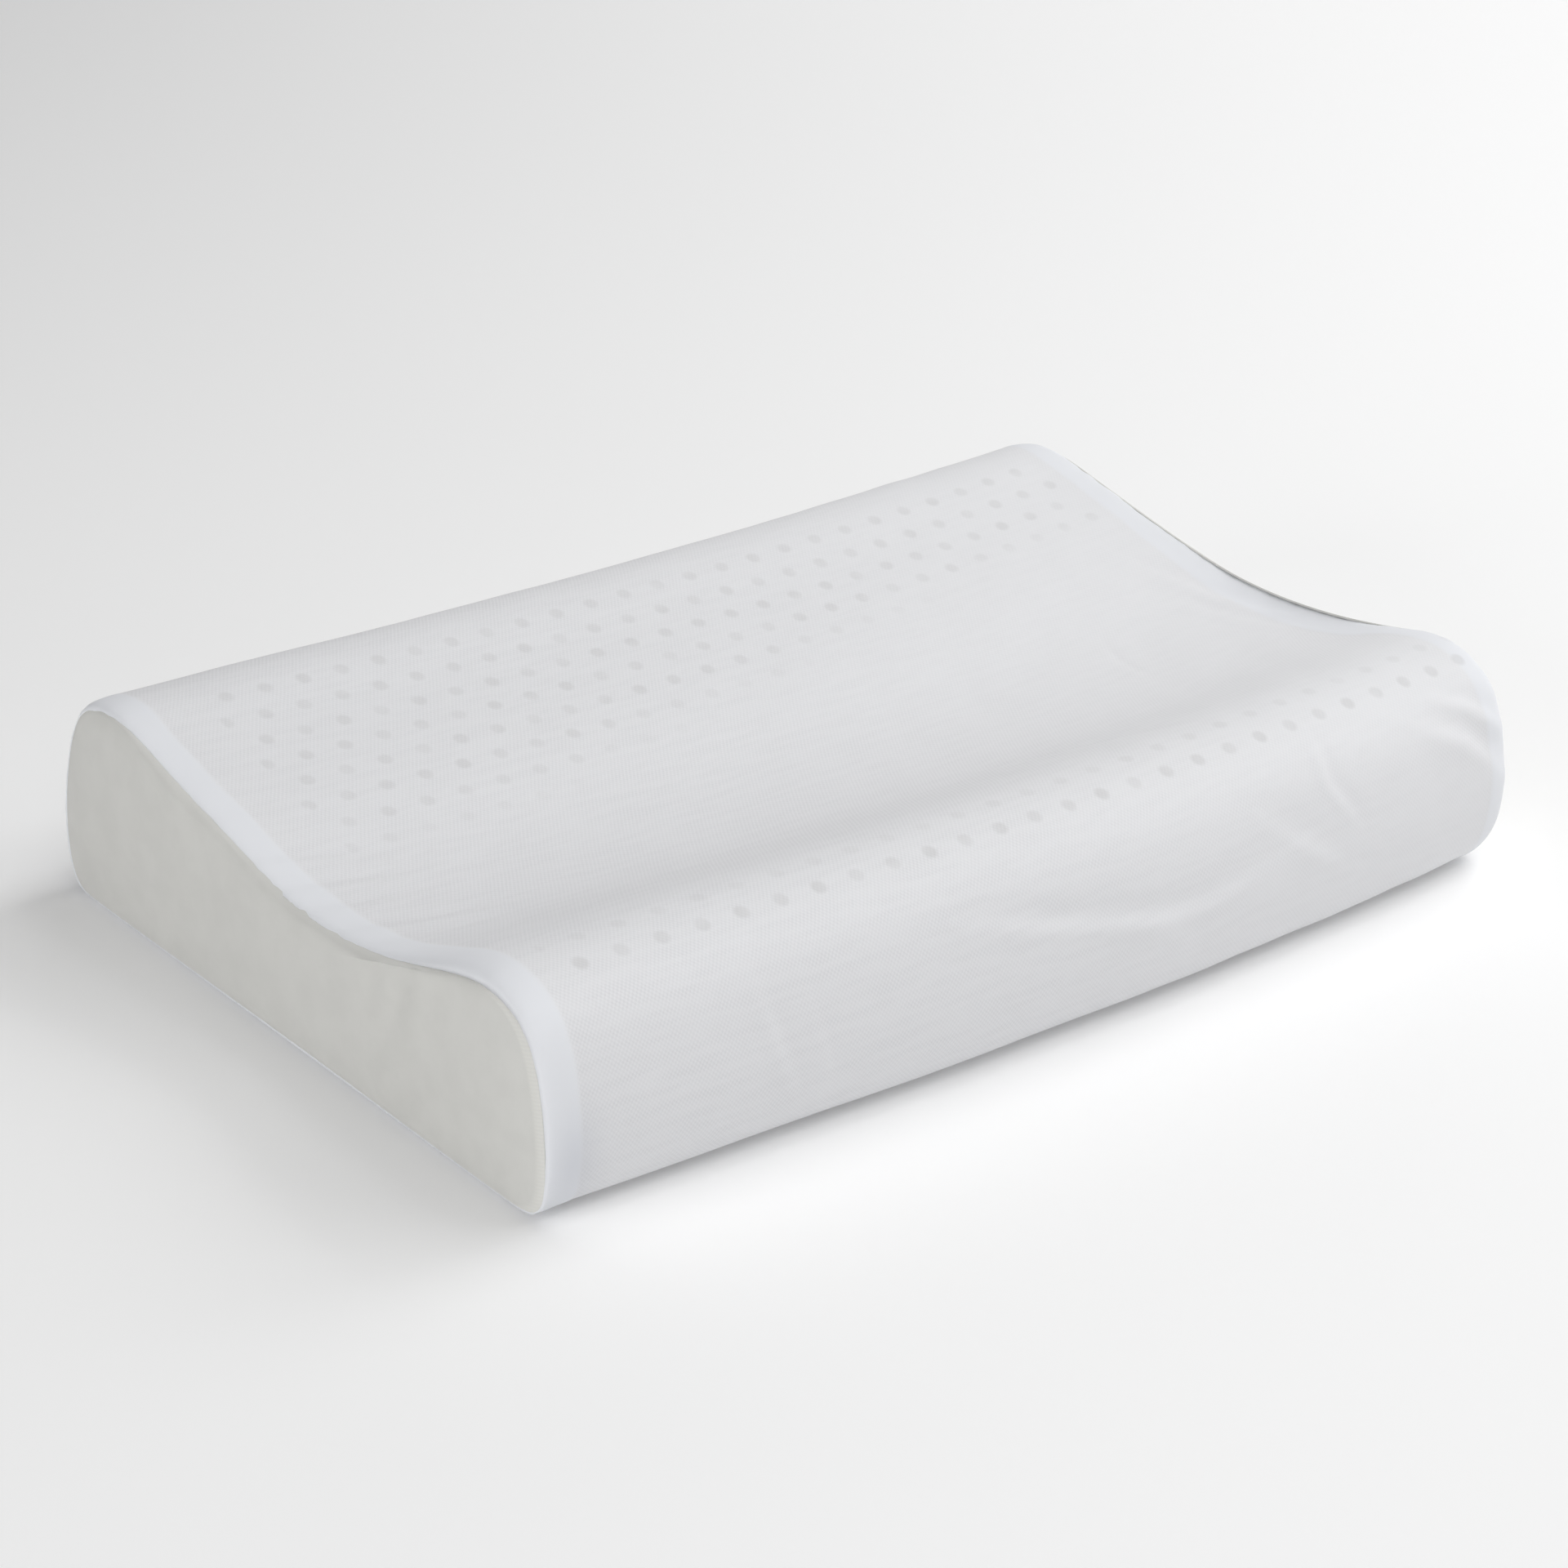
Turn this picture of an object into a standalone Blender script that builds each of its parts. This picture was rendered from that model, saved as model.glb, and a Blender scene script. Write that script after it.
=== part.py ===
# Contour pillow: a filled body in one wrap-round band of cloth, closed by a sewn panel at each end.
# Length runs along X, the low front roll faces -Y, the high back roll faces +Y, the base lies at z = 0.
import bpy
import bmesh
import numpy as np

mm = 0.001

# Driving dimensions
seam_half_length = 300 * mm
panel_thickness = 2 * mm
panel_gap = 0.3 * mm
panel_dome = 4 * mm
dome_power = 8
end_bend = 12.4 * mm
edge_round_length = 18 * mm
edge_round_left = 2 * mm
edge_round_right = 4 * mm
edge_share = 0.5
crown_power_left = 4
crown_power_right = 3
steps_per_span = 3

# Lengthwise places of the sections, as distances from the seam, before the even ones begin
edge_section_places = (2.3 * mm, 5 * mm, 9 * mm, 13 * mm, 18 * mm, 26 * mm)
even_sections = 33

# Share of the end outline at which each ring of an end face lies, from the seam inwards
end_face_shares = (0.985, 0.94, 0.84, 0.62, 0.34, 0.1)

# Section outline in mm, from the front edge of the base up over the top and down the back.
# Each station gives depth y and height z at the left end, in the middle and at the right end.
# columns: station, left y, left z, middle y, middle z, right y, right z
section_stations = (
    ("base front", 8, 0, 12, 0, 14, 0),
    ("toe low", -13, 2, -7, 4, -3, 4),
    ("toe", -22, 10, -17, 14, -13, 14),
    ("front low", -24, 38, -23, 38, -20, 38),
    ("front high", -20, 64, -20, 66, -17, 66),
    ("front shoulder", -12, 85, -11, 90, -9, 89),
    ("front round", 1, 97, 2, 103, 4, 102),
    ("front crest", 22, 101.5, 28, 110, 28, 110),
    ("front roll back", 58, 94, 62, 100, 64, 105),
    ("valley front", 96, 83, 98, 84, 98, 98),
    ("valley", 140, 77, 142, 76, 142, 93),
    ("valley back", 185, 79.5, 186, 78, 186, 93),
    ("slope low", 228, 89, 228, 88, 228, 98),
    ("slope", 270, 99, 272, 98, 270, 105),
    ("back rise", 300, 107, 302, 105, 302, 111),
    ("back crest", 326, 110.5, 332, 112, 330, 114),
    ("back round", 352, 104, 354, 106, 352, 106),
    ("back shoulder", 366, 84, 365, 84, 363, 82),
    ("back face", 374, 42, 374, 42, 371, 42),
    ("heel", 369, 10, 370, 11, 366, 11),
    ("heel low", 361, 2, 362, 2.5, 358, 2.5),
    ("base back", 343, 0, 344, 0, 340, 0),
    ("base middle back", 230, 0, 230, 0, 230, 0),
    ("base middle front", 120, 0, 120, 0, 120, 0),
)

# Main soft folds of the band in mm, each a straight trough pressed into the cloth.
# A fold fades at its ends to this share of its length, and lies only on cloth that faces it.
fold_end_share = 0.1
facing_limit = 0.5
# columns: fold, start x, start y, end x, end y, half width, depth
top_folds = (
    ("valley crease left", -235, 92, -40, 96, 13, 1.6),
    ("valley crease right", -40, 96, 190, 104, 12, 1.2),
    ("right end pull", 180, 150, 290, 235, 16, 1.6),
)
# columns: fold, start x, start z, end x, end z, half width, depth
front_folds = (
    ("front drag long", 60, 42, 235, 70, 13, 1.8),
    ("front drag right", 200, 84, 285, 60, 12, 1.6),
    ("front drag left", -120, 20, -95, 66, 12, 1.0),
)

# Colours read from the photograph, as linear values
band_colour = (0.72, 0.72, 0.735, 1.0)
panel_colour = (0.60, 0.60, 0.575, 1.0)
cloth_roughness = 0.85


def clear_scene():
    for item in list(bpy.data.objects):
        bpy.data.objects.remove(item, do_unlink=True)


def cloth_material(name, colour):
    material = bpy.data.materials.new(name)
    material.use_nodes = True
    shader = material.node_tree.nodes["Principled BSDF"]
    shader.inputs["Base Color"].default_value = colour
    shader.inputs["Roughness"].default_value = cloth_roughness
    shader.inputs["Metallic"].default_value = 0.0
    material.diffuse_color = colour
    return material


def closed_spline(points):
    """Points of a closed curve through the given ones, with even curvature and equal steps a span."""
    count = len(points)
    spans = np.linalg.norm(np.roll(points, -1, 0) - points, axis=1) ** 0.5
    before = np.roll(spans, 1)
    slopes = (np.roll(points, -1, 0) - points) / spans[:, None]
    matrix = np.zeros((count, count))
    right = 3 * (slopes * before[:, None] + np.roll(slopes, 1, 0) * spans[:, None])
    for i in range(count):
        matrix[i, i - 1] = spans[i]
        matrix[i, i] = 2 * (spans[i] + before[i])
        matrix[i, (i + 1) % count] = before[i]
    tangents = np.linalg.solve(matrix, right)
    curve = []
    for i in range(count):
        after = (i + 1) % count
        for step in range(steps_per_span):
            t = step / steps_per_span
            place = (2 * t**3 - 3 * t**2 + 1) * points[i] + (3 * t**2 - 2 * t**3) * points[after]
            bend = (t**3 - 2 * t**2 + t) * tangents[i] + (t**3 - t**2) * tangents[after]
            curve.append(place + bend * spans[i])
    return np.array(curve)


def outward_normals(outline):
    along = np.roll(outline, -1, 0) - np.roll(outline, 1, 0)
    normals = np.stack([-along[:, 1], along[:, 0]], axis=1)
    return normals / np.linalg.norm(normals, axis=1)[:, None]


table = np.array([row[1:] for row in section_stations], dtype=float) * mm
left_outline = closed_spline(table[:, 0:2])
middle_outline = closed_spline(table[:, 2:4])
right_outline = closed_spline(table[:, 4:6])


def trough(along, across, fold):
    """Depth of one fold at a place on the cloth."""
    start = np.array(fold[1:3]) * mm
    run = np.array(fold[3:5]) * mm - start
    half_width, depth = np.array(fold[5:7]) * mm
    share = ((along - start[0]) * run[0] + (across - start[1]) * run[1]) / (run @ run)
    kept = np.clip(share, 0, 1)
    off = np.hypot(along - start[0] - kept * run[0], across - start[1] - kept * run[1])
    fade = np.sin(np.pi * (fold_end_share + (1 - 2 * fold_end_share) * kept))
    return depth * fade * np.exp(-((off / half_width) ** 2))


def section(x):
    """Outline of the pillow across its length, as (y, z) points."""
    to_left = x < 0
    end_outline = left_outline if to_left else right_outline
    power = crown_power_left if to_left else crown_power_right
    rounding = edge_round_left if to_left else edge_round_right
    share = x / seam_half_length
    inward = min(seam_half_length - abs(x), edge_round_length) / edge_round_length
    arc = np.sqrt(max(0.0, 1 - (1 - inward) ** 2))
    crown = edge_share * arc + (1 - edge_share) * (1 - abs(share) ** power)
    outline = end_outline + (middle_outline - end_outline) * crown
    normals = outward_normals(outline)
    sink = np.full(len(outline), rounding * (1 - arc))
    for fold in top_folds:
        on_top = normals[:, 1] > facing_limit
        sink += np.where(on_top, trough(x, outline[:, 0], fold), 0)
    for fold in front_folds:
        on_front = normals[:, 0] < -facing_limit
        sink += np.where(on_front, trough(x, outline[:, 1], fold), 0)
    outline = outline - normals * sink[:, None]
    outline[:, 0] += end_bend * share**2
    outline[:, 1] = np.maximum(outline[:, 1], 0)
    return outline


def ring_at(x, outline):
    return np.column_stack([np.full(len(outline), x), outline])


def depth_centre():
    lowest = min(section(x)[:, 0].min() for x in section_places())
    highest = max(section(x)[:, 0].max() for x in section_places())
    return (lowest + highest) / 2


def section_places():
    near = [seam_half_length - place for place in edge_section_places]
    inner = near[-1]
    even = np.linspace(-inner, inner, even_sections)
    return [-x for x in near[:-1]] + list(even) + near[:-1][::-1]


def end_rings(side, seam_inset):
    """Rings of a domed end face, from its seam inwards; side is -1 for left and 1 for right."""
    x = side * (seam_half_length - seam_inset)
    rim = section(x)
    centre = rim.mean(axis=0)
    rings = []
    for share in end_face_shares:
        dome = side * panel_dome * (1 - share**dome_power)
        rings.append(ring_at(x + dome, centre + (rim - centre) * share))
    return rings


def loft(name, rings, material, centre):
    """One closed solid through the rings, its two ends filled."""
    mesh = bmesh.new()
    loops = []
    for ring in rings:
        corners = [mesh.verts.new((p[0], p[1] - centre, p[2])) for p in ring]
        edges = [mesh.edges.new((corners[i - 1], corners[i])) for i in range(len(corners))]
        loops.append(edges)
    for first, second in zip(loops, loops[1:]):
        bmesh.ops.bridge_loops(mesh, edges=first + second)
    bmesh.ops.contextual_create(mesh, geom=loops[0])
    bmesh.ops.contextual_create(mesh, geom=loops[-1])
    bmesh.ops.triangulate(mesh, faces=mesh.faces)
    bmesh.ops.recalc_face_normals(mesh, faces=mesh.faces)
    data = bpy.data.meshes.new(name)
    mesh.to_mesh(data)
    mesh.free()
    data.materials.append(material)
    data.shade_smooth()
    data.set_sharp_from_angle(angle=np.radians(50))
    piece = bpy.data.objects.new(name, data)
    bpy.context.scene.collection.objects.link(piece)
    return piece


def pillow_body(material, centre):
    inset = panel_thickness + panel_gap
    rings = end_rings(-1, inset)[::-1]
    rings += [ring_at(x, section(x)) for x in section_places()]
    rings += end_rings(1, inset)
    return loft("pillow_body", rings, material, centre)


def end_panel(name, side, material, centre):
    inner_x = side * (seam_half_length - panel_thickness)
    outer_x = side * seam_half_length
    rings = end_rings(side, panel_thickness)[::-1]
    rings.append(ring_at(inner_x, section(inner_x)))
    rings.append(ring_at(outer_x, section(outer_x)))
    rings += end_rings(side, 0)
    return loft(name, rings, material, centre)


clear_scene()
band_cloth = cloth_material("band_cloth", band_colour)
panel_cloth = cloth_material("panel_cloth", panel_colour)
middle = depth_centre()
pillow_body(band_cloth, middle)
end_panel("end_panel_left", -1, panel_cloth, middle)
end_panel("end_panel_right", 1, panel_cloth, middle)
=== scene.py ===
import math
import bpy
import bmesh
import numpy as np
from mathutils import Matrix, Vector


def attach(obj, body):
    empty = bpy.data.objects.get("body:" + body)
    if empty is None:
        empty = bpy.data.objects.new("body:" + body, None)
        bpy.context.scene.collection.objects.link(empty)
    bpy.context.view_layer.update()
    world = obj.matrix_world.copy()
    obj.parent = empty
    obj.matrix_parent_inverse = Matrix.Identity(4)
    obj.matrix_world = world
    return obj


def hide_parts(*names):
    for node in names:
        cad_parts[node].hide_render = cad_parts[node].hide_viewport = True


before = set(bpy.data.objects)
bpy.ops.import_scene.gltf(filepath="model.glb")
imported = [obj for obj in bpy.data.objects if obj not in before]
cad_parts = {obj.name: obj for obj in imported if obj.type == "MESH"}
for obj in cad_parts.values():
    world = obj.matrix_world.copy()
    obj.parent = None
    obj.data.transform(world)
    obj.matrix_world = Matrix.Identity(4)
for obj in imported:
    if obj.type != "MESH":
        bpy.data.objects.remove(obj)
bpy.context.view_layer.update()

mm = 0.001

# The pillow's form: x runs along it, y from the low front roll to the high back roll.
# Each station of the outline has its depth and height at the left end, in the middle and at the
# right end, in mm, from the front edge of the base up over the top and down the back.
pillow = {
    "seamHalfLength": 300,
    "endBend": 12.4,
    "edgeRoundLength": 18,
    "edgeRoundLeft": 2,
    "edgeRoundRight": 4,
    "edgeShare": 0.5,
    "crownPowerLeft": 4,
    "crownPowerRight": 3,
    "panelDome": 4,
    "domePower": 8,
    "stepsPerSpan": 14,
    "sectionsAlong": 280,
    "stations": (
        ("base front", 8, 0, 12, 0, 14, 0),
        ("toe low", -13, 2, -7, 4, -3, 4),
        ("toe", -22, 10, -17, 14, -13, 14),
        ("front low", -24, 38, -23, 38, -20, 38),
        ("front high", -20, 64, -20, 66, -17, 66),
        ("front shoulder", -12, 85, -11, 90, -9, 89),
        ("front round", 1, 97, 2, 103, 4, 102),
        ("front crest", 22, 101.5, 28, 110, 28, 110),
        ("front roll back", 58, 94, 62, 100, 64, 105),
        ("valley front", 96, 83, 98, 84, 98, 98),
        ("valley", 140, 77, 142, 76, 142, 93),
        ("valley back", 185, 79.5, 186, 78, 186, 93),
        ("slope low", 228, 89, 228, 88, 228, 98),
        ("slope", 270, 99, 272, 98, 270, 105),
        ("back rise", 300, 107, 302, 105, 302, 111),
        ("back crest", 326, 110.5, 332, 112, 330, 114),
        ("back round", 352, 104, 354, 106, 352, 106),
        ("back shoulder", 366, 84, 365, 84, 363, 82),
        ("back face", 374, 42, 374, 42, 371, 42),
        ("heel", 369, 10, 370, 11, 366, 11),
        ("heel low", 361, 2, 362, 2.5, 358, 2.5),
        ("base back", 343, 0, 344, 0, 340, 0),
        ("base middle back", 230, 0, 230, 0, 230, 0),
        ("base middle front", 120, 0, 120, 0, 120, 0),
    ),
}

# Folds of the band, each on a route of places on the cloth: mm along the pillow from its middle,
# and mm round it from the front edge of the base. A step sinks on one side and rises on the other.
bandFolds = (
    {"kind": "step", "route": ((-70, 104), (-20, 90), (40, 76), (80, 74), (134, 84)),
     "width": 7, "depth": 1.5},
    {"kind": "ridge", "route": ((34, 74), (50, 62), (72, 40)), "width": 7, "depth": 0.9},
    {"kind": "step", "route": ((166, 134), (165, 108), (182, 84)), "width": 5, "depth": 0.8},
    {"kind": "step", "route": ((120, 102), (146, 84), (176, 64)), "width": 8, "depth": 0.9},
    {"kind": "step", "route": ((246, 132), (272, 120), (299, 101)), "width": 7, "depth": 1.6},
    {"kind": "step", "route": ((236, 118), (266, 104), (296, 78)), "width": 9, "depth": 1.5},
    {"kind": "step", "route": ((-186, 106), (-178, 76), (-163, 40)), "width": 6, "depth": 0.9},
    {"kind": "step", "route": ((-160, 96), (-153, 64), (-148, 48)), "width": 5, "depth": 0.5},
    {"kind": "crease", "route": ((36, 236), (80, 199), (128, 166)), "width": 3, "depth": 0.5},
    {"kind": "crease", "route": ((196, 316), (190, 296), (188, 272)), "width": 3.5, "depth": 0.6},
    {"kind": "crease", "route": ((180, 298), (190, 294), (204, 286)), "width": 3.5, "depth": 0.5},
    {"kind": "step", "route": ((258, 372), (276, 332), (290, 280)), "width": 7, "depth": 0.9},
    {"kind": "step", "route": ((236, 352), (262, 316), (282, 262)), "width": 7, "depth": 0.6},
    {"kind": "step", "route": ((-298, 342), (-276, 336), (-240, 322)), "width": 4, "depth": 0.6},
    {"kind": "step", "route": ((-298, 318), (-270, 312), (-236, 304)), "width": 4, "depth": 0.7},
    {"kind": "step", "route": ((-298, 298), (-272, 290), (-230, 288)), "width": 4, "depth": 0.6},
    {"kind": "step", "route": ((-298, 272), (-268, 262), (-214, 252)), "width": 5, "depth": 0.8},
    {"kind": "step", "route": ((-298, 250), (-262, 240), (-222, 238)), "width": 4, "depth": 0.5},
)

# The foam's pin holes, seen faintly through the cloth: rows along the pillow, every second row
# moved by half a pitch, in mm.
pinHoles = {
    "firstAlong": -245,
    "pitch": 21.02,
    "firstDepth": 316,
    "rowStep": 16.93,
    "shearPerRow": 0.28,
    "radius": 4.1,
    "firstColumn": -1.1,
    "lastColumn": 25.1,
}

seamAllowance = {"width": 17, "softness": 1.6, "lift": 0.25, "wander": 1.2}


def closedSpline(points, steps):
    # even curvature all round, with the same number of steps in each span
    count = len(points)
    spans = np.linalg.norm(np.roll(points, -1, 0) - points, axis=1) ** 0.5
    before = np.roll(spans, 1)
    slopes = (np.roll(points, -1, 0) - points) / spans[:, None]
    matrix = np.zeros((count, count))
    right = 3 * (slopes * before[:, None] + np.roll(slopes, 1, 0) * spans[:, None])
    for i in range(count):
        matrix[i, i - 1] = spans[i]
        matrix[i, i] = 2 * (spans[i] + before[i])
        matrix[i, (i + 1) % count] = before[i]
    tangents = np.linalg.solve(matrix, right)
    t = (np.arange(steps) / steps)[None, :, None]
    here, there = points[:, None], np.roll(points, -1, 0)[:, None]
    leave, arrive = tangents[:, None], np.roll(tangents, -1, 0)[:, None]
    curve = (2 * t**3 - 3 * t**2 + 1) * here + (3 * t**2 - 2 * t**3) * there
    curve = curve + ((t**3 - 2 * t**2 + t) * leave + (t**3 - t**2) * arrive) * spans[:, None, None]
    return curve.reshape(-1, 2)


def outwardNormals(outline):
    along = np.roll(outline, -1, 0) - np.roll(outline, 1, 0)
    normals = np.stack([-along[:, 1], along[:, 0]], axis=1)
    return normals / np.linalg.norm(normals, axis=1)[:, None]


def arcLength(outline):
    steps = np.linalg.norm(np.roll(outline, -1, 0) - outline, axis=1)
    return np.concatenate([[0], np.cumsum(steps)])


stationTable = np.array([row[1:] for row in pillow["stations"]], dtype=float) * mm
outlines = [closedSpline(stationTable[:, k:k + 2], pillow["stepsPerSpan"]) for k in (0, 2, 4)]
aroundCount = len(outlines[0])
halfLength = pillow["seamHalfLength"] * mm
bend = pillow["endBend"] * mm


def section(x):
    # the outline across the pillow at x, before the pillow's bend in plan
    leftSide = x < 0
    endOutline = outlines[0] if leftSide else outlines[2]
    power = pillow["crownPowerLeft"] if leftSide else pillow["crownPowerRight"]
    rounding = (pillow["edgeRoundLeft"] if leftSide else pillow["edgeRoundRight"]) * mm
    roundLength = pillow["edgeRoundLength"] * mm
    inward = min(max(halfLength - abs(x), 0), roundLength) / roundLength
    arc = math.sqrt(1 - (1 - inward) ** 2)
    share = abs(x) / halfLength
    crown = pillow["edgeShare"] * arc + (1 - pillow["edgeShare"]) * (1 - share**power)
    outline = endOutline + (outlines[1] - endOutline) * crown
    outline = outline - outwardNormals(outline) * rounding * (1 - arc)
    outline[:, 1] = np.maximum(outline[:, 1], 0)
    return outline


def bendBack(x):
    # how far back the bend in plan moves the cloth at x
    return bend * (x / halfLength) ** 2


depths = [section(x)[:, 0] + bendBack(x) for x in np.linspace(-halfLength, halfLength, 61)]
depthCentre = (min(d.min() for d in depths) + max(d.max() for d in depths)) / 2
middleArc = arcLength(outlines[1])


def softWaves(a, b, lengths, seed, count=14):
    # smooth uneven relief between about -1 and 1, from waves of the given lengths in metres
    random = np.random.default_rng(seed)
    total = np.zeros(np.broadcast(a, b).shape)
    for k in range(count):
        length = random.uniform(*lengths)
        turn = random.uniform(0, 2 * math.pi)
        phase = random.uniform(0, 2 * math.pi)
        total += np.sin(2 * math.pi * (a * math.cos(turn) + b * math.sin(turn)) / length + phase)
    return total / math.sqrt(count) / 1.6


def smoothStep(value, low, high):
    t = np.clip((value - low) / (high - low), 0, 1)
    return t * t * (3 - 2 * t)


def foldRelief(a, b, fold):
    # height of one fold over the cloth, along a smooth route through its places
    places = np.array(fold["route"], dtype=float) * mm
    width = fold["width"] * mm
    best = np.full(a.shape, 1e9)
    side = np.zeros(a.shape)
    reach = np.zeros(a.shape)
    runs = len(places) - 1
    for i in range(runs):
        start, run = places[i], places[i + 1] - places[i]
        share = np.clip(((a - start[0]) * run[0] + (b - start[1]) * run[1]) / (run @ run), 0, 1)
        offA, offB = a - start[0] - share * run[0], b - start[1] - share * run[1]
        off = np.hypot(offA, offB)
        nearer = off < best
        best = np.where(nearer, off, best)
        side = np.where(nearer, np.sign(run[0] * offB - run[1] * offA), side)
        reach = np.where(nearer, (i + share) / runs, reach)
    fade = np.sin(math.pi * np.clip(0.06 + 0.88 * reach, 0, 1)) ** 0.8
    t = best / width
    if fold["kind"] == "step":
        shape = -side * t * np.exp(-t * t) * 1.6 - 0.35 * np.exp(-4 * t * t)
    elif fold["kind"] == "ridge":
        shape = np.exp(-t * t)
    else:
        shape = -np.exp(-t * 1.4)
    return fold["depth"] * mm * fade * shape


def edgeCrowded(count, half):
    # places from -half to half that crowd towards both ends
    even = np.linspace(-1, 1, count)
    return half * (0.72 * even + 0.28 * np.sin(even * math.pi / 2))


class Val:
    # one value socket, so that shader maths reads as plain expressions

    def __init__(self, cloth, socket):
        self.cloth = cloth
        self.socket = socket

    def math(self, operation, *others):
        sockets = {0: self, **dict(enumerate(others, 1))}
        return self.cloth.node("ShaderNodeMath", {"operation": operation}, sockets, 0)

    def __add__(self, other):
        return self.math("ADD", other)

    __radd__ = __add__

    def __mul__(self, other):
        return self.math("MULTIPLY", other)

    __rmul__ = __mul__

    def __sub__(self, other):
        return self.math("SUBTRACT", other)

    def __rsub__(self, other):
        return (self * -1) + other

    def sine(self):
        return self.math("SINE")

    def floor(self):
        return self.math("FLOOR")

    def root(self):
        return self.math("SQRT")

    def fade(self, low, high, first=0.0, last=1.0):
        sockets = {"Value": self, "From Min": low, "From Max": high, "To Min": first, "To Max": last}
        settings = {"interpolation_type": "SMOOTHSTEP"}
        return self.cloth.node("ShaderNodeMapRange", settings, sockets, "Result")


class Finish:
    # one material: node() is the only call that adds a node

    def __init__(self, name):
        self.material = bpy.data.materials.new(name)
        self.material.use_nodes = True
        self.nodes = self.material.node_tree.nodes
        self.links = self.material.node_tree.links
        self.shader = self.nodes["Principled BSDF"]

    def set(self, socket, value):
        if isinstance(value, Val):
            self.links.new(value.socket, socket)
        else:
            socket.default_value = value

    def node(self, kind, settings, sockets, output):
        made = self.nodes.new(kind)
        for key, value in settings.items():
            setattr(made, key, value)
        for key, value in sockets.items():
            self.set(made.inputs[key], value)
        return Val(self, made.outputs[output])

    def split(self, vector):
        return [self.node("ShaderNodeSeparateXYZ", {}, {"Vector": vector}, k) for k in ("X", "Y", "Z")]

    def layer(self, name):
        return self.node("ShaderNodeAttribute", {"attribute_name": name}, {}, "Fac")

    def uv(self, name):
        return self.node("ShaderNodeUVMap", {"uv_map": name}, {}, "UV")

    def noise(self, vector, scale, detail=3.0):
        sockets = {"Vector": vector, "Scale": scale, "Detail": detail}
        return self.node("ShaderNodeTexNoise", {}, sockets, "Fac")

    def mix(self, share, first, second):
        sockets = {"Factor": share, 6: first, 7: second}
        return self.node("ShaderNodeMix", {"data_type": "RGBA"}, sockets, 2)


twill = {
    "waleAlong": 430,          # cycles a metre along the pillow
    "waleRound": 415,          # cycles a metre round it
    "yarnAlong": 480,
    "yarnRound": -300,
    "wander": 5.0,             # how far the yarns run out of true, in radians
    "wanderScale": 22.0,
    "relief": 0.00016,
    "bump": 0.6,
    "gapTone": 0.30,           # how dark the gaps between the yarns are
    "slubTone": 0.25,
    "allowanceTone": 0.85,
    "holeTone": 0.55,
    # how strongly the painted bluish shade shows, low on the front beside the left seam
    "paintedShadeTone": 0.35,
    "fuzzScale": 2600.0,
    "roughness": 0.72,
    "sheen": 0.12,
    "light": (0.800, 0.802, 0.818, 1),
    "dark": (0.640, 0.642, 0.664, 1),
    "allowance": (0.800, 0.815, 0.850, 1),
    "hole": (0.60, 0.595, 0.60, 1),
    # colour of that painted bluish shade
    "paintedShade": (0.52, 0.54, 0.60, 1),
}


def twillCloth():
    cloth = Finish("band_twill")
    along, around, _ = cloth.split(cloth.uv("cloth"))
    turn = 2 * math.pi
    wander = cloth.noise(cloth.uv("cloth"), twill["wanderScale"], 2.0) * twill["wander"]
    wale = (along * (turn * twill["waleAlong"]) + around * (turn * twill["waleRound"]) + wander).sine()
    yarn = (along * (turn * twill["yarnAlong"]) + around * (turn * twill["yarnRound"]) + wander).sine()
    shown = cloth.layer("weaveShow")
    strip = cloth.layer("allowanceShow")
    weave = (wale * 0.5 + yarn * 0.5) * 0.5 + 0.5
    slub = cloth.noise(cloth.uv("slub"), 1.0, 3.0).fade(0.35, 0.7)
    # pin holes in staggered rows
    column, row, _ = cloth.split(cloth.uv("pins"))
    nearRow = (row + 0.5).floor()
    halfStep = nearRow.math("MODULO", 2.0) * 0.5
    shifted = column - halfStep
    offColumn = (shifted - (shifted + 0.5).floor()) * pinHoles["pitch"]
    offRow = (row - nearRow) * pinHoles["rowStep"]
    away = (offColumn * offColumn + offRow * offRow).root()
    uneven = cloth.noise(cloth.uv("pins"), 0.9, 2.0).fade(0.3, 0.75, 0.45, 1.0)
    radius = pinHoles["radius"]
    hole = away.fade(radius * 0.55, radius * 1.2, 1.0, 0.0) * cloth.layer("holeShow") * uneven
    tone = (1 - weave) * shown * (twill["gapTone"] + slub * twill["slubTone"])
    colour = cloth.mix(tone, twill["light"], twill["dark"])
    colour = cloth.mix(strip * twill["allowanceTone"], colour, twill["allowance"])
    colour = cloth.mix(hole * twill["holeTone"], colour, twill["hole"])
    # painted shade: a darker bluish spot low on the front beside the left seam
    paintedShade = cloth.layer("paintedShadeShow")
    colour = cloth.mix(paintedShade * twill["paintedShadeTone"], colour, twill["paintedShade"])
    cloth.set(cloth.shader.inputs["Base Color"], colour)
    fuzz = cloth.noise(cloth.uv("cloth"), twill["fuzzScale"], 2.0)
    height = weave * shown * 0.8 + fuzz * 0.25 - hole * 0.5
    sockets = {"Strength": twill["bump"], "Distance": twill["relief"], "Height": height}
    cloth.set(cloth.shader.inputs["Normal"], cloth.node("ShaderNodeBump", {}, sockets, "Normal"))
    cloth.set(cloth.shader.inputs["Roughness"], twill["roughness"] + weave * 0.08)
    cloth.shader.inputs["Sheen Weight"].default_value = twill["sheen"]
    cloth.shader.inputs["Sheen Roughness"].default_value = 0.5
    cloth.shader.inputs["Specular IOR Level"].default_value = 0.3
    return cloth.material


plain = {
    "thread": 900,             # threads a metre, both ways
    "ribUp": 520,
    "ribAcross": 120,
    "relief": 0.00008,
    "bump": 0.5,
    "mottleScale": 60.0,
    "fuzzScale": 2200.0,
    "roughness": 0.8,
    "sheen": 0.08,
    "light": (0.665, 0.662, 0.635, 1),
    "dark": (0.600, 0.598, 0.572, 1),
    "ribbed": (0.74, 0.735, 0.70, 1),
}


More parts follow.
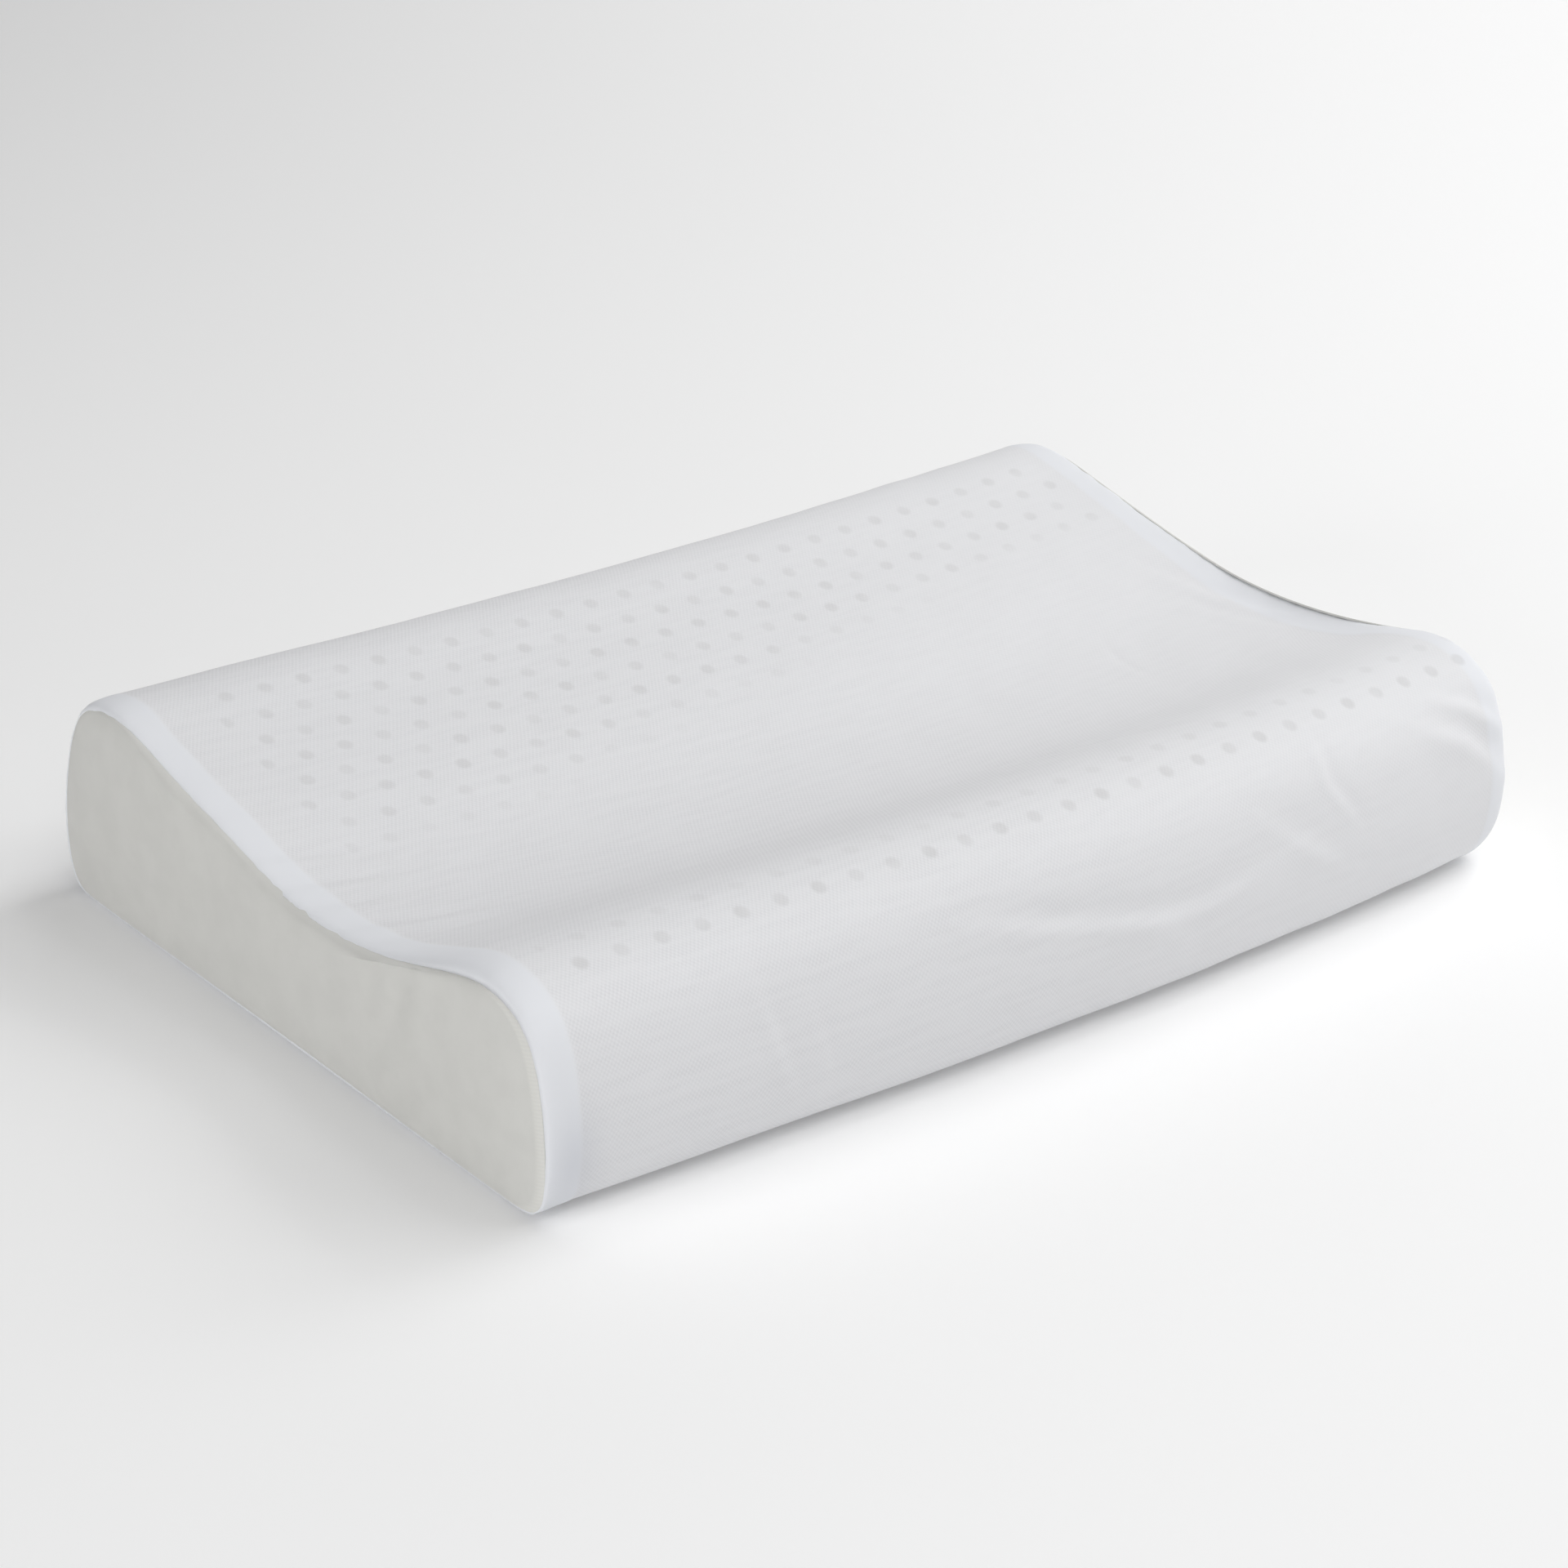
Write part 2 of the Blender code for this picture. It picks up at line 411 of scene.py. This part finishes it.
def panelCloth():
    cloth = Finish("end_panel_cloth")
    place = cloth.node("ShaderNodeTexCoord", {}, {}, "Object")
    _, across, up = cloth.split(place)
    turn = 2 * math.pi
    over = (across * (turn * plain["thread"])).sine()
    under = (up * (turn * plain["thread"])).sine()
    weave = over * under * 0.5 + 0.5
    mottle = cloth.noise(place, plain["mottleScale"], 4.0).fade(0.3, 0.7)
    colour = cloth.mix(mottle * 0.35 + (1 - weave) * 0.12, plain["light"], plain["dark"])
    rib = (up * (turn * plain["ribUp"]) + across * (turn * plain["ribAcross"])).sine() * 0.5 + 0.5
    strip = cloth.layer("allowanceShow")
    colour = cloth.mix(strip * (0.45 + rib * 0.25), colour, plain["ribbed"])
    cloth.set(cloth.shader.inputs["Base Color"], colour)
    height = weave * 0.5 + cloth.noise(place, plain["fuzzScale"], 2.0) * 0.5 + rib * strip * 0.6
    sockets = {"Strength": plain["bump"], "Distance": plain["relief"], "Height": height}
    cloth.set(cloth.shader.inputs["Normal"], cloth.node("ShaderNodeBump", {}, sockets, "Normal"))
    cloth.set(cloth.shader.inputs["Roughness"], plain["roughness"] + mottle * 0.08)
    cloth.shader.inputs["Sheen Weight"].default_value = plain["sheen"]
    cloth.shader.inputs["Specular IOR Level"].default_value = 0.25
    return cloth.material


def gridMesh(name, columns, rows):
    # a flat grid of quads, with the column and row of each of its points
    mesh = bmesh.new()
    bmesh.ops.create_grid(mesh, x_segments=columns - 1, y_segments=rows - 1, size=0.5)
    data = bpy.data.meshes.new(name)
    mesh.to_mesh(data)
    mesh.free()
    places = np.empty(len(data.vertices) * 3)
    data.vertices.foreach_get("co", places)
    places = places.reshape(-1, 3) + 0.5
    column = np.rint(places[:, 0] * (columns - 1)).astype(int)
    row = np.rint(places[:, 1] * (rows - 1)).astype(int)
    return data, column, row


def addLayer(data, name, values):
    layer = data.attributes.new(name, "FLOAT", "POINT")
    layer.data.foreach_set("value", np.ascontiguousarray(values, dtype=np.float32))


def addUv(data, name, u, v):
    corners = np.empty(len(data.loops), dtype=int)
    data.loops.foreach_get("vertex_index", corners)
    layer = data.uv_layers.new(name=name)
    pairs = np.stack([u[corners], v[corners]], axis=1).astype(np.float32)
    layer.data.foreach_set("uv", pairs.ravel())


def closeUp(data, fillHoles):
    # joins the grid's meeting edges, closes what should be closed and points the faces outwards
    mesh = bmesh.new()
    mesh.from_mesh(data)
    bmesh.ops.remove_doubles(mesh, verts=mesh.verts, dist=1e-6)
    if fillHoles:
        edges = [edge for edge in mesh.edges if edge.is_boundary]
        bmesh.ops.holes_fill(mesh, edges=edges, sides=0)
    bmesh.ops.recalc_face_normals(mesh, faces=mesh.faces)
    mesh.to_mesh(data)
    mesh.free()
    data.shade_smooth()


def linked(name, data, material):
    data.materials.append(material)
    piece = bpy.data.objects.new(name, data)
    bpy.context.scene.collection.objects.link(piece)
    return piece


# The band's own relief, in mm: slow waves of the foam, smaller ones of the loose cloth, gathers
# beside the seams, the groove of the seam, and the rings that turn in behind the panels
bandRelief = {
    "slow": 0.45,
    "slowLengths": (0.09, 0.2),    # in metres
    "loose": 0.22,
    "looseLengths": (0.025, 0.06),
    "gathers": 0.28,
    "gatherLengths": (0.008, 0.02),
    "gatherReach": 9,
    "groove": 1.1,
    "grooveWidth": 1.6,
    "tuckAlong": (2.4, 0.6),
    "tuckSink": (3.2, 1.4),
}

# Painted shade low on the front of the band beside the left seam: a darker bluish spot, given by its centre
# and half sizes in mm along the pillow and round it
paintedShadeSpot = {"along": -286, "round": 52, "halfLength": 12, "halfWidth": 22}


def bandCover(material):
    tuckAlong = np.array(bandRelief["tuckAlong"]) * mm
    visible = edgeCrowded(pillow["sectionsAlong"], halfLength)
    xs = np.concatenate([tuckAlong - halfLength, visible, (halfLength - tuckAlong)[::-1]])
    sinks = np.zeros(len(xs))
    sinks[[0, -1]] = bandRelief["tuckSink"][0] * mm
    sinks[[1, -2]] = bandRelief["tuckSink"][1] * mm
    unbent = np.array([section(x) for x in xs])
    a = np.repeat(xs[:, None], aroundCount, 1)
    b = np.repeat(middleArc[None, :aroundCount], len(xs), 0)
    normals = np.array([outwardNormals(outline) for outline in unbent])
    fromSeam = halfLength - np.abs(a)
    relief = np.zeros(a.shape)
    for fold in bandFolds:
        relief += foldRelief(a, b, fold)
    # slow unevenness of the foam and the cloth, less on the tight left half
    loose = 0.35 + 0.65 * smoothStep(a, -0.1, 0.25)
    relief += bandRelief["slow"] * mm * softWaves(a, b, bandRelief["slowLengths"], 3)
    relief += bandRelief["loose"] * mm * loose * softWaves(a, b, bandRelief["looseLengths"], 5, 22)
    # short gathers where the band is sewn to the panels
    gathers = softWaves(a * 0.15, b, bandRelief["gatherLengths"], 7, 18)
    relief += bandRelief["gathers"] * mm * gathers * np.exp(-fromSeam / (bandRelief["gatherReach"] * mm))
    # the seam allowance inside, seen as a slightly raised strip
    wander = seamAllowance["wander"] * mm * softWaves(a * 0, b, (0.03, 0.12), 11)
    edge = seamAllowance["width"] * mm + wander
    softness = seamAllowance["softness"] * mm
    strip = 1 - smoothStep(fromSeam, edge - softness, edge + softness)
    relief += seamAllowance["lift"] * mm * strip
    relief -= bandRelief["groove"] * mm * np.exp(-((fromSeam / (bandRelief["grooveWidth"] * mm)) ** 1.5))
    # the base stays flat on what it lies on
    onBase = smoothStep(-normals[..., 1], 0.75, 0.97)
    relief *= 1 - onBase
    relief -= sinks[:, None]
    shaped = unbent + normals * relief[..., None]
    shaped[..., 1] = np.maximum(shaped[..., 1], 0)
    depth = shaped[..., 0] + bendBack(a) - depthCentre
    points = np.stack([a, depth, shaped[..., 1]], axis=-1)

    data, column, row = gridMesh("pillow_band", len(xs), aroundCount + 1)
    wrapped = row % aroundCount
    data.vertices.foreach_set("co", points[column, wrapped].astype(np.float32).ravel())
    roundPlace = middleArc[row]
    along = xs[column]
    addUv(data, "cloth", along, roundPlace)
    addUv(data, "slub", along * 30, roundPlace * 220)
    pins = pinHoles
    rowShare = (pins["firstDepth"] * mm - unbent[column, wrapped, 0]) / (pins["rowStep"] * mm)
    shift = pins["firstAlong"] * mm + rowShare * pins["shearPerRow"] * mm
    columnShare = (along - shift) / (pins["pitch"] * mm)
    addUv(data, "pins", columnShare, rowShare)
    # where the holes show: strong on the front roll, fading from the back roll into the valley
    up = smoothStep(normals[column, wrapped, 1], 0.45, 0.8)
    leftness = 1 - smoothStep(along, -0.3, 0.25)
    backRows = 1 - smoothStep(rowShare, 2.2 + 3.2 * leftness, 4.0 + 5.0 * leftness)
    backRows = backRows * smoothStep(rowShare, -0.6, -0.4)
    frontRow = smoothStep(rowShare, 17.45, 17.55) * (1 - smoothStep(rowShare, 18.45, 18.55))
    secondRow = smoothStep(rowShare, 16.45, 16.55) * (1 - smoothStep(rowShare, 17.45, 17.55))
    inColumns = (columnShare > pins["firstColumn"] - 0.4) & (columnShare < pins["lastColumn"] + 0.4)
    firstBack = (columnShare > -0.6) & (columnShare < 24.8)
    show = backRows * firstBack * 0.85 + (frontRow * 1.0 + secondRow * 0.5) * inColumns
    addLayer(data, "holeShow", show * up)
    stripHere = strip[column, wrapped]
    addLayer(data, "allowanceShow", stripHere)
    tight = 0.45 + 0.55 * (1 - smoothStep(along, -0.1, 0.28))
    addLayer(data, "weaveShow", (1 - stripHere) * tight)
    # the painted shade spot, fading out from its centre
    offAlong = (along - paintedShadeSpot["along"] * mm) / (paintedShadeSpot["halfLength"] * mm)
    offRound = (roundPlace - paintedShadeSpot["round"] * mm) / (paintedShadeSpot["halfWidth"] * mm)
    paintedShade = np.exp(-(offAlong**2) - offRound**2)
    addLayer(data, "paintedShadeShow", paintedShade)
    closeUp(data, True)
    return linked("pillow_cover", data, material)


# Folds of the left end panel, on routes of depth and height in mm
panelFolds = (
    {"kind": "step", "route": ((72, 84), (80, 60), (92, 34)), "width": 7, "depth": 1.1},
    {"kind": "step", "route": ((92, 84), (100, 62), (104, 46)), "width": 6, "depth": 0.8},
    {"kind": "ridge", "route": ((110, 80), (112, 60), (108, 40)), "width": 8, "depth": 0.5},
    {"kind": "step", "route": ((64, 30), (78, 16), (96, 6)), "width": 6, "depth": 0.6},
    {"kind": "crease", "route": ((286, 98), (281, 90), (270, 84)), "width": 3, "depth": 0.7},
)


# Sizes of an end panel in mm, and the share of the seam's outline that it reaches to
endPanelSizes = {
    "reach": 0.9935,
    "slow": 0.5,
    "short": 0.18,
    "groove": 1.3,
    "grooveWidth": 1.7,
    "thickness": 1.0,
}


def endPanel(name, side, material, rings=40):
    # a domed sheet from its middle out to the seam, where its edge turns into the groove
    rim = section(side * halfLength)
    middle = rim.mean(axis=0)
    outerRings = 10
    outer = 0.9 + 0.1 * (1 - (1 - np.linspace(0.12, 1, outerRings)) ** 1.6)
    shares = np.concatenate([np.linspace(0, 0.9, rings - outerRings), outer]) * endPanelSizes["reach"]
    flat = middle + (rim[None] - middle) * shares[:, None, None]
    dome = pillow["panelDome"] * mm * (1 - shares**pillow["domePower"])[:, None]
    x = side * (halfLength + np.repeat(dome, aroundCount, 1))
    relief = np.zeros(flat.shape[:2])
    if side < 0:
        for fold in panelFolds:
            relief += foldRelief(flat[..., 0], flat[..., 1], fold)
    seed = 21 if side < 0 else 31
    slow = softWaves(flat[..., 0], flat[..., 1] * 0.6, (0.05, 0.12), seed)
    short = softWaves(flat[..., 0], flat[..., 1] * 0.4, (0.016, 0.03), seed + 1, 20)
    relief += (endPanelSizes["slow"] * slow + endPanelSizes["short"] * short) * mm
    relief *= 1 - smoothStep(shares, 0.9, 0.99)[:, None]
    x = x + side * relief
    fromRim = np.linalg.norm(rim[None] - flat, axis=2)
    groove = endPanelSizes["groove"] * mm
    x = x - side * groove * np.exp(-((fromRim / (endPanelSizes["grooveWidth"] * mm)) ** 1.5))
    depth = flat[..., 0] + bend - depthCentre
    points = np.stack([x, depth, flat[..., 1]], axis=-1)
    data, column, row = gridMesh(name, rings, aroundCount + 1)
    wrapped = row % aroundCount
    data.vertices.foreach_set("co", points[column, wrapped].astype(np.float32).ravel())
    onFront = 1 - smoothStep(flat[..., 0], 0.012, 0.03)
    strip = (1 - smoothStep(fromRim, 5 * mm, 6.5 * mm)) * onFront
    addLayer(data, "allowanceShow", strip[column, wrapped])
    closeUp(data, False)
    piece = linked(name, data, material)
    thick = piece.modifiers.new("cloth thickness", "SOLIDIFY")
    thick.thickness = endPanelSizes["thickness"] * mm
    thick.offset = -1
    return piece


bandMaterial = twillCloth()
panelMaterial = panelCloth()
print("cloth materials made")

cover = bandCover(bandMaterial)
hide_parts("pillow_body")
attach(cover, "root")
print("band and filling made,", len(cover.data.polygons), "faces")

endPanels = (("left_end_cloth", "end_panel_left", -1), ("right_end_cloth", "end_panel_right", 1))
for panelName, cadNode, side in endPanels:
    panel = endPanel(panelName, side, panelMaterial)
    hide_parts(cadNode)
    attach(panel, "root")
print("end panels made")


def aim(turn, height):
    # the direction out from the pillow, turned round it from straight in front and raised
    level = math.cos(height)
    return Vector((math.sin(turn) * level, -math.cos(turn) * level, math.sin(height)))


# Camera at the photograph's viewing angle, slightly rolled as it is there
view = {
    "target": (59.6, 90.3, 0),
    "distance": 2281.5,
    "lens": 100.98,
    "azimuth": -40.09,
    "elevation": 26.0,
    "roll": 2.42,
}
azimuth, elevation, roll = (math.radians(view[k]) for k in ("azimuth", "elevation", "roll"))
away = aim(azimuth, elevation)
rightward = (-away).cross(Vector((0, 0, 1))).normalized()
upward = rightward.cross(-away)
turnedRight = rightward * math.cos(roll) + upward * math.sin(roll)
turnedUp = upward * math.cos(roll) - rightward * math.sin(roll)
place = Vector(view["target"]) * mm + away * view["distance"] * mm
cameraData = bpy.data.cameras.new("camera")
cameraData.lens = view["lens"]
cameraData.sensor_width = 36
camera = bpy.data.objects.new("camera", cameraData)
bpy.context.scene.collection.objects.link(camera)
camera.matrix_world = Matrix.Translation(place) @ Matrix((turnedRight, turnedUp, away)).transposed().to_4x4()
bpy.context.scene.camera = camera

studio = {
    "lampDistance": 3.0,
    "lampSize": 1.6,
    "worldStrength": 0.0,
    "floorGlow": 0.1,
    "floorRadius": 9.0,
    "floorHeight": -0.0005,
}

# Plain pale floor
floorMesh = bmesh.new()
bmesh.ops.create_circle(floorMesh, cap_ends=True, segments=96, radius=studio["floorRadius"])
bmesh.ops.translate(floorMesh, verts=floorMesh.verts, vec=(0, 0, studio["floorHeight"]))
floorData = bpy.data.meshes.new("floor")
floorMesh.to_mesh(floorData)
floorMesh.free()
floorPaint = Finish("floor_paint")
floorPaint.shader.inputs["Base Color"].default_value = (0.86, 0.86, 0.86, 1)
floorPaint.shader.inputs["Roughness"].default_value = 0.9
floorPaint.shader.inputs["Emission Color"].default_value = (1, 1, 1, 1)
floorPaint.shader.inputs["Emission Strength"].default_value = studio["floorGlow"]
floor = linked("floor", floorData, floorPaint.material)

# Soft studio light
world = bpy.data.worlds.new("studio")
world.use_nodes = True
world.node_tree.nodes["Background"].inputs["Color"].default_value = (1.0, 1.0, 1.0, 1)
world.node_tree.nodes["Background"].inputs["Strength"].default_value = studio["worldStrength"]
bpy.context.scene.world = world

# Each lamp by its turn round the pillow and its height, in degrees, and its power in watts
lamps = (
    {"name": "right key", "turn": 90, "height": 42, "power": 26},
    {"name": "left low", "turn": -90, "height": 12, "power": 31},
    {"name": "front top", "turn": 0, "height": 68, "power": 19},
    {"name": "front low", "turn": 0, "height": 12, "power": 5},
    {"name": "right low", "turn": 90, "height": 12, "power": 9},
    {"name": "back right low", "turn": 135, "height": 12, "power": 15.6},
    {"name": "right top", "turn": 90, "height": 68, "power": 17},
    {"name": "front right", "turn": 45, "height": 42, "power": 18},
    {"name": "front left", "turn": -45, "height": 42, "power": 12},
    {"name": "front left low", "turn": -45, "height": 12, "power": 8.6},
)
for lamp in lamps:
    turn, height = math.radians(lamp["turn"]), math.radians(lamp["height"])
    towards = aim(turn, height)
    lampData = bpy.data.lights.new(lamp["name"], "AREA")
    lampData.shape = "SQUARE"
    lampData.size = studio["lampSize"]
    lampData.energy = lamp["power"]
    lampObject = bpy.data.objects.new(lamp["name"], lampData)
    bpy.context.scene.collection.objects.link(lampObject)
    lampObject.location = towards * studio["lampDistance"]
    lampObject.rotation_euler = (-towards).to_track_quat("-Z", "Y").to_euler()
bpy.context.scene.view_settings.view_transform = "Standard"
print("camera, floor and light made")
